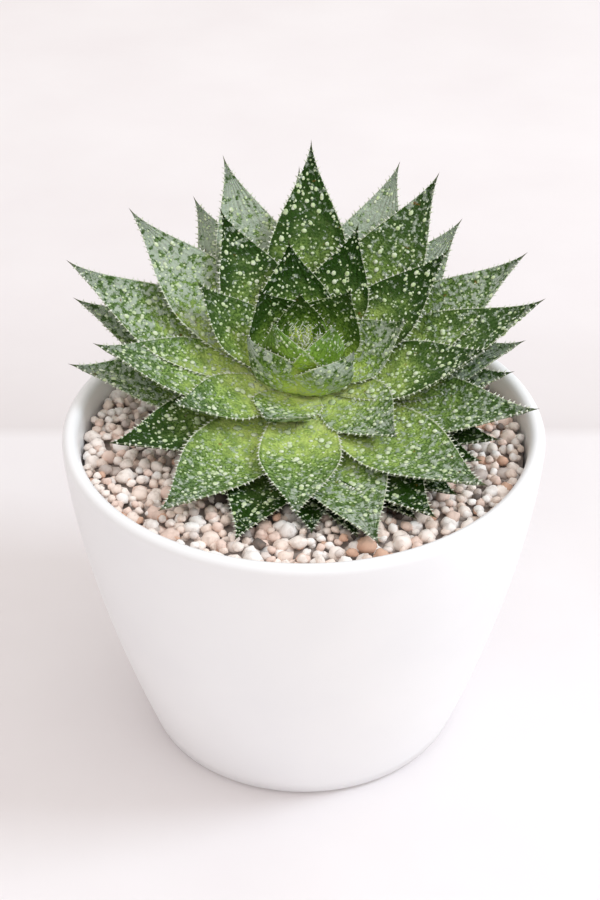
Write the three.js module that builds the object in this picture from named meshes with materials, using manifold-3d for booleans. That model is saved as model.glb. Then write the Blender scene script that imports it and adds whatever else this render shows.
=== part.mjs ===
// Potted lace aloe: a glazed tapering pot, soil under a bed of rounded gravel, and a leaning rosette
// of thick toothed leaves on a short stem. Millimetres, +Z up, origin at the centre of the pot's foot.
import * as THREE from 'three';
import { mergeVertices } from 'three/addons/utils/BufferGeometryUtils.js';
import Module from 'manifold-3d';

const wasm = await Module();
wasm.setup();

const { degToRad, lerp, mapLinear } = THREE.MathUtils;

// Clearance between neighbouring solids, and the size under which a cut's slivers are merged
const GAP = 0.3;
const SMALLEST_FACET = 0.07;

// Pot
const POT_HEIGHT = 96;
const POT_RIM_RADIUS = 65.5;
const POT_FOOT_RADIUS = 44.6;
const POT_TAPER_POWER = 1.57;
const POT_WALL = 4.4;
const POT_FLOOR = 6;
const FOOT_ROUND = 1.6;
const POT_SIDES = 44;
const POT_OUTSIDE_SHARES = [0.02, 0.25, 0.5, 0.75, 0.9, 1];
const POT_INSIDE_SHARES = [1, 0.9, 0.75, 0.5, 0.25, 0];
const LIP_STEPS = 6;

// Soil and gravel
const SOIL_TOP = 80;
const FILLING_SIDES = 32;
const FILLING_STEPS = 4;
const GRAVEL_TOP = 90.8;
const GRAVEL_BED_TOP = 88.2;
const PEBBLE_SPACING = 9.4;
const PEBBLE_RADIUS = [4.6, 5.3];
const PEBBLE_FLATNESS = [0.8, 1];
const PEBBLE_RISE = 0.6;
const PEBBLE_LEAN = 0.5;
const PEBBLE_SETTLE = 0.5;
const PEBBLE_SIDES = 6;
const PEBBLE_SEED = 7;

// Rosette: it leans toward -Y, and everything below is set out in its own frame
const ROSETTE_PLACE = [0, 15, 91];
const ROSETTE_LEAN = degToRad(16);

// Stem, and the crown of packed leaf bases on it as [height, radius]
const STEM_RADIUS = 4.6;
const STEM_DEPTH = 26;
const STEM_SIDES = 14;
const CROWN_PROFILE = [[2.5, 4.6], [5, 10.5], [9, 9.5], [13.5, 5.2], [16, 3]];

// Heart of unopened leaves on top of the crown: the room it takes and its core, as [height, radius]
const HEART_ROOM = [[16, 3.2], [21, 4.2], [25, 3.6], [29, 1]];
const HEART_CORE = [[16.3, 2.6], [20, 3.1], [24, 2.2], [26.5, 0]];
const HEART_BLADES = 6;
const HEART_BLADE_HEIGHT = 9;
const HEART_BLADE_RADIUS = 1.4;
const HEART_BLADE_FLATNESS = 0.6;
const HEART_BLADE_TOP = 28.5;
const HEART_BLADE_REACH = 2.3;

// Leaves: places and sizes, from the youngest to the oldest
const TIP_ORIGIN_HEIGHT = 10;
const ROOT_HEIGHT = [14.6, 5.8];
const ROOT_HEIGHT_POWER = 0.8;
const ROOT_SINK = 1;
const FACING_SHARE = 0.7;
const INNER_LEAVES = 14;
const LOWEST_LEAVES_FROM = 20;
const WIDTH_PER_ROOT_LENGTH = 3.05;
const THICKNESS_BASE = 1.5;
const THICKNESS_PER_LENGTH = 0.036;
const SAG = [0.17, 0.05];
// The two straight leaves round the heart, and the two that cup them
const CUP_SAG = { 2: 0.072, 3: 0.072, 7: 0.15, 8: 0.15 };
const BASE_WIDTH_SHARE = [0.95, 0.42];
const BASE_CUP = [0.34, 0.09];
const BLADE_CUP = 0.075;

// Leaves: outline along the length, 0 at the root and 1 at the tip
const STATIONS = [0, 0.2, 0.42, 0.64, 0.84, 0.94];
const WIDEST_AT = 0.46;
const TAPER_POWER = 1.7;
const POINT_POWER = 1.7;
const THICKEST_AT = 0.4;
const ROOT_THICKNESS_SHARE = 0.62;
const TIP_THICKNESS_SHARE = 0.22;
const THINNING_POWER = 1.4;
const KEEL_SHARE = 0.5;

// Marginal teeth and the raised dots of the upper face
const TOOTH_HEIGHT = 1.1;
const TOOTH_RADIUS = 0.7;
const TOOTH_FLATNESS = 0.7;
const TOOTH_SINK = 0.6;
const TOOTH_PITCH = 12.5;
const TOOTH_LEAN = 0.5;
const TOOTHED_FROM = 0.3;
const TOOTHED_TO = 0.92;
const TOOTH_CLEARANCE = 1.4;
const DOT_RADIUS = 0.8;
const DOT_HEIGHT = 0.5;
const DOT_SINK = 0.6;
const DOT_PLACES = [[0.38, 0.4], [0.55, -0.4], [0.72, 0.35]];

// One row a leaf, from the heart outward: azimuth of the tip in degrees from +X toward +Y,
// elevation of the tip in degrees and reach to the tip, both from the origin of the tips, share of
// the full width, and for a leaf that sweeps sideways the azimuth of its root past that of its tip.
// A swept leaf turns its upper face most of the way back toward its root.
const LEAVES = [
  [45, 74, 21.5, 0.7], [135, 74, 21.5, 0.7], [8, 71, 24.8, 1.35, -85], [170, 71, 25, 1.4, 88],
  [95, 62, 26.5, 1], [46, 52, 30, 1.3, 30], [131, 51, 29.5, 1.3, -30], [170, 47.5, 23, 1.3, 98],
  [346, 51, 22.3, 1.35, -80], [97, 33, 41, 1.2], [18, 29, 34, 1.3, 5], [146, 30, 41, 1],
  [68, 31, 48, 1], [243, 22, 25.5, 1.5, 30], [310, 17, 40, 1.08, 48], [208, 18, 42, 1],
  [36, 25, 55, 1], [118, 26, 56, 1], [354, 22, 54, 1], [268, 14, 59, 1], [88, 27, 72, 0.95],
  [179, 15, 59, 1], [236, 11, 67, 1], [313, 14, 70, 1], [286, 11, 69, 1], [139, 22, 70, 1],
  [54, 25, 72, 1], [10, 18, 70, 1], [110, 22, 73, 1], [66, 21, 73, 1], [158, 17, 74, 1],
  [25, 18, 72, 1], [341, 12, 67, 1], [254, 8, 64, 1], [301, 10, 66, 1], [208, 7, 59, 1],
  [159, 7, 70, 1], [178, 5, 65, 1], [91, 12, 74, 1], [118, 12, 70, 1], [48, 12, 70, 1],
  [5, 11, 62, 1], [0, 5, 58, 1], [346, 5, 58, 1], [335, 5, 58, 1], [326, 5, 57, 1], [312, 6, 60, 1],
  [299, 6, 60, 1], [283, 7, 61, 1], [272, 7, 58, 1], [235, 6, 54, 1], [70, -1, 54, 1],
  [110, -1, 54, 1], [146, 1, 55, 1], [32, 1, 55, 1],
];

// Looks
const CERAMIC = { color: 0xf4f2ef, roughness: 0.35, metalness: 0 };
const SOIL_LOOK = { color: 0x3b2b20, roughness: 1, metalness: 0 };
const GRAVEL_LOOK = { color: 0xc9b7a3, roughness: 0.9, metalness: 0 };
const STEM_LOOK = { color: 0x8a9a55, roughness: 0.8, metalness: 0 };
const YOUNG_LEAF = new THREE.Color(0x7fae3a);
const OLD_LEAF = new THREE.Color(0x4c6f3f);
const LEAF_ROUGHNESS = 0.55;

function seededRandom(seed) {
  let state = seed;
  return () => {
    state = (state * 1664525 + 1013904223) % 4294967296;
    return state / 4294967296;
  };
}

function toSolid(geometry) {
  const bare = geometry.clone();
  bare.deleteAttribute('normal');
  bare.deleteAttribute('uv');
  const merged = mergeVertices(bare, 1e-4);
  return new wasm.Manifold(new wasm.Mesh({
    numProp: 3,
    vertProperties: new Float32Array(merged.attributes.position.array),
    triVerts: new Uint32Array(merged.index.array),
  }));
}

function toGeometry(solid) {
  const mesh = solid.getMesh();
  const geometry = new THREE.BufferGeometry();
  geometry.setAttribute('position', new THREE.BufferAttribute(mesh.vertProperties, 3));
  geometry.setIndex(new THREE.BufferAttribute(mesh.triVerts, 1));
  geometry.computeVertexNormals();
  return geometry;
}

function largestBody(solid) {
  return solid.decompose().reduce((best, body) => (body.volume() > best.volume() ? body : best));
}

// The body that a cut leaves whole, without its scraps and its slivers
function mainBody(solid) {
  return largestBody(largestBody(solid).asOriginal().simplify(SMALLEST_FACET));
}

function namedMesh(name, geometry, look) {
  const mesh = new THREE.Mesh(geometry, new THREE.MeshStandardMaterial(look));
  mesh.name = name;
  return mesh;
}

// Solid of revolution about Z from a profile of [radius, height]
function turned(profile, sides) {
  const points = profile.map(([radius, height]) => new THREE.Vector2(radius, height));
  return new THREE.LatheGeometry(points, sides).rotateX(Math.PI / 2);
}

// Pot

function potRadius(height) {
  const below = (1 - height / POT_HEIGHT) ** POT_TAPER_POWER;
  return POT_RIM_RADIUS - (POT_RIM_RADIUS - POT_FOOT_RADIUS) * below;
}

function potGeometry() {
  const lipRadius = POT_WALL / 2;
  const lipHeight = POT_HEIGHT - lipRadius;
  const profile = [[0, 0], [POT_FOOT_RADIUS - FOOT_ROUND, 0]];
  for (const share of POT_OUTSIDE_SHARES) {
    profile.push([potRadius(share * lipHeight), share * lipHeight]);
  }
  for (let step = 1; step < LIP_STEPS; step += 1) {
    const turn = (step / LIP_STEPS) * Math.PI;
    const radius = POT_RIM_RADIUS - lipRadius + lipRadius * Math.cos(turn);
    profile.push([radius, lipHeight + lipRadius * Math.sin(turn)]);
  }
  for (const share of POT_INSIDE_SHARES) {
    const height = lerp(POT_FLOOR, lipHeight, share);
    profile.push([potRadius(height) - POT_WALL, height]);
  }
  profile.push([0, POT_FLOOR]);
  return turned(profile, POT_SIDES);
}

// Soil and gravel

// Filling between two heights, clear of the flats of the pot's inner wall
function fillingGeometry(bottom, top) {
  const profile = [[0, bottom]];
  const flats = Math.cos(Math.PI / POT_SIDES);
  for (let step = 0; step <= FILLING_STEPS; step += 1) {
    const height = lerp(bottom, top, step / FILLING_STEPS);
    profile.push([(potRadius(height) - POT_WALL) * flats - 2 * GAP, height]);
  }
  profile.push([0, top]);
  return turned(profile, FILLING_SIDES);
}

// Rounded stone with a few flat sides, its foot sunk in the bed
function pebbleGeometry(x, y, radius, random) {
  const height = PEBBLE_RISE * radius;
  const foot = -0.5 * radius;
  const stone = turned([[0, foot], [radius, foot], [0.95 * radius, 0.2 * height], [0, height]], PEBBLE_SIDES);
  stone.scale(lerp(...PEBBLE_FLATNESS, random()), 1, 1);
  stone.rotateZ(random() * 2 * Math.PI);
  stone.rotateX((random() - 0.5) * PEBBLE_LEAN);
  stone.rotateY((random() - 0.5) * PEBBLE_LEAN);
  return stone.translate(x, y, GRAVEL_TOP - height - PEBBLE_SETTLE * random());
}

function gravelSolid() {
  const random = seededRandom(PEBBLE_SEED);
  let bed = toSolid(fillingGeometry(SOIL_TOP + GAP, GRAVEL_BED_TOP));
  const reach = potRadius(GRAVEL_BED_TOP) - POT_WALL - 4 * GAP - PEBBLE_RADIUS[1];
  const rings = Math.round(reach / PEBBLE_SPACING);
  for (let ring = 0; ring <= rings; ring += 1) {
    const ringRadius = (ring / rings) * reach;
    const count = Math.max(1, Math.round((2 * Math.PI * ringRadius) / PEBBLE_SPACING));
    for (let k = 0; k < count; k += 1) {
      const turn = ((k + 0.5 * random()) / count) * 2 * Math.PI;
      const radius = ring === rings ? ringRadius : ringRadius + 2 * random() - 1;
      const size = lerp(...PEBBLE_RADIUS, random());
      const stone = pebbleGeometry(radius * Math.cos(turn), radius * Math.sin(turn), size, random);
      bed = bed.add(toSolid(stone));
    }
  }
  return bed;
}

// Stem, crown and heart; extra widens them to the room that their neighbours leave

function stemGeometry(extra) {
  const profile = [[0, -STEM_DEPTH - extra], [STEM_RADIUS + extra, -STEM_DEPTH - extra]];
  const widestHeight = CROWN_PROFILE[1][0];
  for (const [height, radius] of CROWN_PROFILE) {
    profile.push([radius + extra, height + (height > widestHeight ? extra : -extra)]);
  }
  profile.push([0, CROWN_PROFILE.at(-1)[0] + extra]);
  return turned(profile, STEM_SIDES);
}

function crownRadius(height) {
  for (let k = 1; k < CROWN_PROFILE.length; k += 1) {
    const [low, lowRadius] = CROWN_PROFILE[k - 1];
    const [high, highRadius] = CROWN_PROFILE[k];
    if (height <= high) return mapLinear(height, low, high, lowRadius, highRadius);
  }
  return CROWN_PROFILE.at(-1)[1];
}

function heartClearGeometry() {
  const profile = HEART_ROOM.map(([height, radius]) => [radius, height]);
  return turned([[0, HEART_ROOM[0][0]], ...profile, [0, HEART_ROOM.at(-1)[0]]], 10);
}

// Unopened leaves standing in a tuft, joined at their feet
function heartSolid() {
  const core = HEART_CORE.map(([height, radius]) => [radius, height]);
  let solid = toSolid(turned([[0, HEART_CORE[0][0]], ...core], HEART_BLADES));
  for (let k = 0; k < HEART_BLADES; k += 1) {
    const blade = new THREE.ConeGeometry(HEART_BLADE_RADIUS, HEART_BLADE_HEIGHT, 4, 1);
    blade.rotateX(Math.PI / 2);
    blade.scale(HEART_BLADE_FLATNESS, 1, 1);
    blade.translate(HEART_BLADE_REACH, 0, HEART_BLADE_TOP - HEART_BLADE_HEIGHT / 2);
    blade.rotateZ((k / HEART_BLADES) * 2 * Math.PI);
    solid = solid.add(toSolid(blade));
  }
  return solid;
}

// Leaves

function widthShare(plan, s) {
  if (s < WIDEST_AT) {
    return lerp(plan.baseWidth, 1, Math.sin((s / WIDEST_AT) * (Math.PI / 2)));
  }
  return (1 - ((s - WIDEST_AT) / (1 - WIDEST_AT)) ** TAPER_POWER) ** POINT_POWER;
}

function thicknessShare(s) {
  if (s < THICKEST_AT) {
    return lerp(ROOT_THICKNESS_SHARE, 1, Math.sin((s / THICKEST_AT) * (Math.PI / 2)));
  }
  return lerp(1, TIP_THICKNESS_SHARE, ((s - THICKEST_AT) / (1 - THICKEST_AT)) ** THINNING_POWER);
}

// Centre line and sizes of one leaf
function leafPlan(index) {
  const [azimuth, elevation, reach, fullness, sweep = 0] = LEAVES[index];
  const age = Math.min(1, index / INNER_LEAVES);
  const rootHeight = lerp(...ROOT_HEIGHT, (index / (LEAVES.length - 1)) ** ROOT_HEIGHT_POWER);
  const rootRadius = crownRadius(rootHeight) - ROOT_SINK;
  const root = new THREE.Vector3().setFromCylindricalCoords(rootRadius, degToRad(azimuth + sweep), rootHeight);
  const tipRadius = reach * Math.cos(degToRad(elevation));
  const tipHeight = TIP_ORIGIN_HEIGHT + reach * Math.sin(degToRad(elevation));
  const tip = new THREE.Vector3().setFromCylindricalCoords(tipRadius, degToRad(azimuth), tipHeight);
  for (const end of [root, tip]) end.set(end.z, end.x, end.y);
  const chord = tip.clone().sub(root);
  const length = chord.length();
  const facing = degToRad(azimuth + FACING_SHARE * sweep);
  const side = new THREE.Vector3(-Math.sin(facing), Math.cos(facing), 0);
  side.projectOnPlane(chord.clone().normalize()).normalize();
  const under = side.clone().cross(chord).normalize();
  const sag = CUP_SAG[index] ?? lerp(...SAG, age);
  const bend = root.clone().lerp(tip, 0.5).addScaledVector(under, 2 * sag * length);
  return {
    curve: new THREE.QuadraticBezierCurve3(root, bend, tip),
    side,
    length,
    baseWidth: lerp(...BASE_WIDTH_SHARE, age),
    baseCup: lerp(...BASE_CUP, age),
    halfWidth: (fullness * WIDTH_PER_ROOT_LENGTH * Math.sqrt(length)) / 2,
    thickness: THICKNESS_BASE + THICKNESS_PER_LENGTH * length,
  };
}

// Direction out of the leaf's upper face
function leafUp(plan, s) {
  return plan.curve.getTangent(s).cross(plan.side).normalize();
}

// Place on a leaf: across from -1 to 1 of the half width, and a height over the centre line
function leafPoint(plan, s, across, height, extra = 0) {
  const half = plan.halfWidth * widthShare(plan, s) + extra;
  return plan.curve.getPoint(s)
    .addScaledVector(plan.side, across * half)
    .addScaledVector(leafUp(plan, s), height);
}

// Height of the margins over the middle of the upper face
function cupHeight(plan, s) {
  const cup = lerp(plan.baseCup, BLADE_CUP, Math.min(1, s / WIDEST_AT));
  return cup * 2 * plan.halfWidth * widthShare(plan, s);
}

// Channelled upper face and flat keel, from one margin to the other
function leafSection(plan, s) {
  const cup = cupHeight(plan, s);
  const keel = -plan.thickness * thicknessShare(s);
  const corners = [[-1, cup], [0, 0], [1, cup], [KEEL_SHARE, keel], [-KEEL_SHARE, keel]];
  return corners.map(([across, height]) => leafPoint(plan, s, across, height));
}

// Wider section that keeps older leaves clear of a leaf and of its teeth
function clearSection(plan, s) {
  const low = cupHeight(plan, s) - TOOTH_RADIUS;
  const high = cupHeight(plan, s) + TOOTH_RADIUS;
  const keel = -plan.thickness * thicknessShare(s) - GAP;
  const corners = [[-1, low], [-1, high], [1, high], [1, low], [KEEL_SHARE, keel], [-KEEL_SHARE, keel]];
  return corners.map(([across, height]) => leafPoint(plan, s, across, height, TOOTH_CLEARANCE));
}

// Closed skin over a row of rings, with a flat first end and a pointed last end
function loftGeometry(rings, point) {
  const sides = rings[0].length;
  const corners = [...rings.flat(), point];
  const lastRing = (rings.length - 1) * sides;
  const index = [];
  for (let k = 1; k < sides - 1; k += 1) index.push(0, k + 1, k);
  for (let first = 0; first < lastRing; first += sides) {
    for (let k = 0; k < sides; k += 1) {
      const a = first + k;
      const b = first + ((k + 1) % sides);
      index.push(a, b, a + sides, b, b + sides, a + sides);
    }
  }
  for (let k = 0; k < sides; k += 1) {
    index.push(lastRing + k, lastRing + ((k + 1) % sides), corners.length - 1);
  }
  return new THREE.BufferGeometry().setFromPoints(corners).setIndex(index);
}

// Solid of a loft whose rings may turn either way: turned inside out, its volume is below zero
function loftSolid(rings, point) {
  const solid = toSolid(loftGeometry(rings, point));
  if (solid.volume() > 0) return solid;
  return toSolid(loftGeometry(rings.map((ring) => [...ring].reverse()), point));
}

// Three-sided point that stands on a surface, its foot sunk in; flat and along span its base
function pointSolid(place, out, flat, along, sink, height) {
  const ring = [0, 1, 2].map((corner) => {
    const turn = (corner / 3) * 2 * Math.PI;
    return place.clone()
      .addScaledVector(out, -sink)
      .addScaledVector(flat, Math.cos(turn))
      .addScaledVector(along, Math.sin(turn));
  });
  return loftSolid([ring], place.clone().addScaledVector(out, height));
}

function toothSolid(plan, s, across) {
  const ahead = plan.curve.getTangent(s);
  const out = plan.side.clone().multiplyScalar(across).addScaledVector(ahead, TOOTH_LEAN).normalize();
  const flat = leafUp(plan, s).multiplyScalar(TOOTH_FLATNESS * TOOTH_RADIUS);
  const along = flat.clone().cross(out).setLength(TOOTH_RADIUS);
  const place = leafPoint(plan, s, across, cupHeight(plan, s));
  return pointSolid(place, out, flat, along, TOOTH_SINK, TOOTH_HEIGHT);
}

function dotSolid(plan, s, across) {
  const flat = plan.side.clone().multiplyScalar(DOT_RADIUS);
  const along = plan.curve.getTangent(s).multiplyScalar(DOT_RADIUS);
  const place = leafPoint(plan, s, across, Math.abs(across) * cupHeight(plan, s));
  return pointSolid(place, leafUp(plan, s), flat, along, DOT_SINK, DOT_HEIGHT);
}

function leafSolid(index) {
  const plan = leafPlan(index);
  const rings = STATIONS.map((s) => leafSection(plan, s));
  let solid = loftSolid(rings, leafPoint(plan, 1, 0, 0));
  const teeth = Math.round(((TOOTHED_TO - TOOTHED_FROM) * plan.length) / TOOTH_PITCH);
  for (let k = 0; k < teeth; k += 1) {
    const s = lerp(TOOTHED_FROM, TOOTHED_TO, (k + 0.5) / teeth);
    for (const across of [-1, 1]) solid = solid.add(toothSolid(plan, s, across));
  }
  if (index < INNER_LEAVES) return solid;
  for (const [s, across] of DOT_PLACES) solid = solid.add(dotSolid(plan, s, across));
  return solid;
}

function leafClearSolid(index) {
  const plan = leafPlan(index);
  const rings = STATIONS.map((s) => clearSection(plan, s));
  return loftSolid(rings, leafPoint(plan, 1, 0, 0).addScaledVector(plan.curve.getTangent(1), 3 * GAP));
}

// Each leaf is cut back from the heart, the crown and every younger leaf
function leafMeshes(leafClears) {
  const crownClear = toSolid(stemGeometry(GAP));
  const heartClear = toSolid(heartClearGeometry());
  return LEAVES.map((row, index) => {
    let solid = leafSolid(index).subtract(crownClear).subtract(heartClear);
    for (const clear of leafClears.slice(0, index)) solid = solid.subtract(clear);
    const color = YOUNG_LEAF.clone().lerp(OLD_LEAF, Math.min(1, index / LOWEST_LEAVES_FROM));
    const look = { color, roughness: LEAF_ROUGHNESS, metalness: 0 };
    return namedMesh(`leaf_${String(index + 1).padStart(2, '0')}`, toGeometry(mainBody(solid)), look);
  });
}

const leafClears = LEAVES.map((row, index) => leafClearSolid(index));
const rosette = new THREE.Group();
rosette.position.set(...ROSETTE_PLACE);
rosette.rotation.x = ROSETTE_LEAN;
rosette.updateMatrix();
rosette.add(namedMesh('stem', stemGeometry(0), STEM_LOOK));
const heartLook = { color: YOUNG_LEAF, roughness: LEAF_ROUGHNESS, metalness: 0 };
rosette.add(namedMesh('heart', toGeometry(heartSolid()), heartLook));
rosette.add(...leafMeshes(leafClears));

// The stem's hole through gravel and soil, and the hollows under the lowest leaves
const stemHole = toSolid(stemGeometry(GAP).applyMatrix4(rosette.matrix));
const soil = toSolid(fillingGeometry(POT_FLOOR + GAP, SOIL_TOP)).subtract(stemHole);
let gravel = gravelSolid().subtract(stemHole);
for (const clear of leafClears.slice(LOWEST_LEAVES_FROM)) {
  gravel = gravel.subtract(toSolid(toGeometry(clear).applyMatrix4(rosette.matrix)));
}

const group = new THREE.Group();
group.add(namedMesh('pot', potGeometry(), CERAMIC));
group.add(namedMesh('potting_soil', toGeometry(mainBody(soil)), SOIL_LOOK));
group.add(namedMesh('gravel', toGeometry(mainBody(gravel)), GRAVEL_LOOK));
group.add(rosette);

export default group;
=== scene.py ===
# A potted lace aloe: glazed pot, soil, gravel and a rosette of thick, white-dotted leaves.
import math
import random

import bmesh
import bpy
from mathutils import Matrix, Vector, noise
from mathutils.bvhtree import BVHTree


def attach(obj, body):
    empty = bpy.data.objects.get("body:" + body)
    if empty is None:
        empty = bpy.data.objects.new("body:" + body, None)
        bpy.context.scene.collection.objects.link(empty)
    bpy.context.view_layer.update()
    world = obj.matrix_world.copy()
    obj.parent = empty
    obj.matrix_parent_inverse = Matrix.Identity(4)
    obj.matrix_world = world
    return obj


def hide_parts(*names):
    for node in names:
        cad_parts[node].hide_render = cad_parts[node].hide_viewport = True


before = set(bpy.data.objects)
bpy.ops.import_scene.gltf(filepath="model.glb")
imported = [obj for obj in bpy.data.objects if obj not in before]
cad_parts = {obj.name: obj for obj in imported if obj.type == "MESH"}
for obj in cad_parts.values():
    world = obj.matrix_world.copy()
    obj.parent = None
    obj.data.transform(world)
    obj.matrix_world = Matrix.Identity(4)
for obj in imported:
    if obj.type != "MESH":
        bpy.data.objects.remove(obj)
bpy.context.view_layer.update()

# ---------------------------------------------------------------------------------------------
# Pot. A slip-cast earthenware pot, about 131 mm across its rim, white all over. Its wall is
# 4.4 mm thick, widens upward in a soft curve and ends in a half-round lip.
# ---------------------------------------------------------------------------------------------
MM = 0.001
POT_HEIGHT = 96 * MM
POT_RIM_RADIUS = 65.5 * MM
POT_FOOT_RADIUS = 44.6 * MM
POT_TAPER_POWER = 1.57
POT_WALL = 4.4 * MM
POT_FLOOR = 6 * MM
POT_FOOT_ROUND = 1.6 * MM
POT_WALL_STEPS = 20
POT_LIP_STEPS = 10
POT_SPIN_STEPS = 160
SAME_PLACE = 0.01 * MM
GLAZE_WHITE = "FBFBFC"
GLAZE_SHADE = "F5F5F7"
GLAZE_WAVE = 41.7 * MM
GLAZE_DIMPLE = 3.85 * MM


def linear(code, alpha=1.0):
    """A colour for a shader socket from an sRGB hex value."""
    shares = [int(code[k:k + 2], 16) / 255 for k in (0, 2, 4)]
    return [c / 12.92 if c <= 0.04045 else ((c + 0.055) / 1.055) ** 2.4 for c in shares] + [alpha]


def add_node(tree, kind, settings=None, links=None):
    """One shader node: settings fill its properties, sockets and ramp stops, links its inputs.
    It comes back as its output that is in use, or as the node itself where it has none."""
    made = tree.nodes.new("ShaderNode" + kind)
    for name, value in (settings or {}).items():
        if name == "stops":
            ramp = made.color_ramp.elements
            while len(ramp) < len(value):
                ramp.new(0.5)
            for stop, (place, code) in zip(ramp, value):
                stop.position, stop.color = place, linear(code)
        elif isinstance(name, str) and hasattr(made, name):
            setattr(made, name, value)
        else:
            made.inputs[name].default_value = linear(value) if isinstance(value, str) else value
    for name, socket in (links or {}).items():
        tree.links.new(socket, made.inputs[name])
    return next((socket for socket in made.outputs if socket.enabled), made)


def new_material(name):
    """An empty material, its node tree and its surface shader."""
    material = bpy.data.materials.new(name)
    material.use_nodes = True
    tree = material.node_tree
    tree.nodes.clear()
    shader = add_node(tree, "BsdfPrincipled")
    add_node(tree, "OutputMaterial", links={"Surface": shader})
    return material, tree, shader.node


def finished(mesh_in_work, name, materials, slot, *nodes):
    """The finished piece from its bmesh: smooth, with its materials, in place of its nodes."""
    mesh = bpy.data.meshes.new(name)
    for face in mesh_in_work.faces:
        face.smooth = True
    mesh_in_work.to_mesh(mesh)
    mesh_in_work.free()
    for material in materials:
        mesh.materials.append(material)
    piece = bpy.data.objects.new(name, mesh)
    bpy.context.scene.collection.objects.link(piece)
    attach(piece, "root")
    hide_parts(*nodes)
    return piece


def pot_radius(height):
    """Outer radius of the pot's wall at a height over its foot."""
    below = (1 - height / POT_HEIGHT) ** POT_TAPER_POWER
    return POT_RIM_RADIUS - (POT_RIM_RADIUS - POT_FOOT_RADIUS) * below


# Tin-white glaze over earthenware, dipped and fired satin: soft broad highlights, a faint change of
# white where the glaze ran thicker, and dimples that only a glint shows. Real dimples are under
# 1 mm wide and are drawn at 4 mm.
glaze, tree, surface = new_material("satin_white_glaze")
place = add_node(tree, "TexCoord").node.outputs["Object"]
run = add_node(tree, "TexNoise", {"Scale": 1 / GLAZE_WAVE, "Detail": 3}, {"Vector": place})
tone = add_node(tree, "ValToRGB", {"stops": [(0.3, GLAZE_SHADE), (0.7, GLAZE_WHITE)]}, {"Fac": run})
dimples = add_node(tree, "TexNoise", {"Scale": 1 / GLAZE_DIMPLE, "Detail": 2}, {"Vector": place})
bump = add_node(tree, "Bump", {"Strength": 0.04, "Distance": 0.4 * MM}, {"Height": dimples})
tree.links.new(tone, surface.inputs["Base Color"])
tree.links.new(bump, surface.inputs["Normal"])
surface.inputs["Roughness"].default_value = 0.36
surface.inputs["IOR"].default_value = 1.5

pot = bmesh.new()
lip_radius = POT_WALL / 2
lip_height = POT_HEIGHT - lip_radius
profile = [(0, 0), (POT_FOOT_RADIUS - POT_FOOT_ROUND, 0)]
for step in range(POT_WALL_STEPS + 1):
    height = POT_FOOT_ROUND + (lip_height - POT_FOOT_ROUND) * step / POT_WALL_STEPS
    profile.append((pot_radius(height), height))
for step in range(1, POT_LIP_STEPS):
    turn = math.pi * step / POT_LIP_STEPS
    radius = POT_RIM_RADIUS - lip_radius + lip_radius * math.cos(turn)
    profile.append((radius, lip_height + lip_radius * math.sin(turn)))
for step in range(POT_WALL_STEPS + 1):
    height = lip_height + (POT_FLOOR - lip_height) * step / POT_WALL_STEPS
    profile.append((pot_radius(height) - POT_WALL, height))
profile.append((0, POT_FLOOR))
corners = [pot.verts.new((radius, 0, height)) for radius, height in profile]
edges = [pot.edges.new(pair) for pair in zip(corners, corners[1:])]
bmesh.ops.spin(pot, geom=corners + edges, cent=(0, 0, 0), axis=(0, 0, 1), angle=2 * math.pi,
               steps=POT_SPIN_STEPS, use_merge=True)
bmesh.ops.remove_doubles(pot, verts=pot.verts, dist=SAME_PLACE)
bmesh.ops.recalc_face_normals(pot, faces=pot.faces)
finished(pot, "glazed_pot", [glaze], "glazed_pot", "pot")

# ---------------------------------------------------------------------------------------------
# Soil. Dark cactus compost of peat, bark and grit, sifted and pressed down round the roots. It
# fills the pot up to 16 mm under its rim, and the gravel covers it.
# ---------------------------------------------------------------------------------------------
CRUMB = 2.38 * MM

# Sifted compost: moist crumbs, near black with brown fibres, with no shine at all.
compost, tree, surface = new_material("sifted_cactus_compost")
place = add_node(tree, "TexCoord").node.outputs["Object"]
crumbs = add_node(tree, "TexNoise", {"Scale": 1 / CRUMB, "Detail": 5}, {"Vector": place})
tone = add_node(tree, "ValToRGB", {"stops": [(0.35, "1F1711"), (0.6, "3E2E22"), (0.75, "6A5643")]},
                {"Fac": crumbs})
bump = add_node(tree, "Bump", {"Strength": 0.8, "Distance": 1 * MM}, {"Height": crumbs})
tree.links.new(tone, surface.inputs["Base Color"])
tree.links.new(bump, surface.inputs["Normal"])
surface.inputs["Roughness"].default_value = 1.0
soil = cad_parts["potting_soil"]
soil.data.materials.clear()
soil.data.materials.append(compost)

# ---------------------------------------------------------------------------------------------
# Leaves. Thick, water-storing blades that grow in a spiral from a short stem, the youngest in the
# middle. A channelled upper face and a rounded back meet in a pale margin with soft white teeth,
# both faces carry raised white dots, and the tip ends in a dry bristle.
# ---------------------------------------------------------------------------------------------
ROSETTE = Matrix.Translation((0, 15 * MM, 91 * MM)) @ Matrix.Rotation(math.radians(16), 4, "X")
CROWN_PROFILE = [(2.5, 4.6), (5, 10.5), (9, 9.5), (13.5, 5.2), (16, 3)]
TIP_ORIGIN_HEIGHT = 10 * MM
ROOT_HEIGHT = (14.6 * MM, 5.8 * MM)
ROOT_HEIGHT_POWER = 0.8
ROOT_SINK = 1 * MM
FACING_SHARE = 0.7
INNER_LEAVES = 14
YOUNG_LEAVES, MIDDLE_LEAVES = 9, 22
PATTERN_STEP = 20
WIDTH_PER_ROOT_LENGTH = 3.05 * math.sqrt(MM)
THICKNESS_BASE = 1.5 * MM
THICKNESS_PER_LENGTH = 0.036
SAG = (0.17, 0.05)
CUP_SAG = {2: 0.072, 3: 0.072, 7: 0.15, 8: 0.15}  # two straight leaves, and the two that cup them
BASE_WIDTH_SHARE = (0.95, 0.42)
BASE_CUP = (0.34, 0.09)
BLADE_CUP = 0.075
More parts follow.
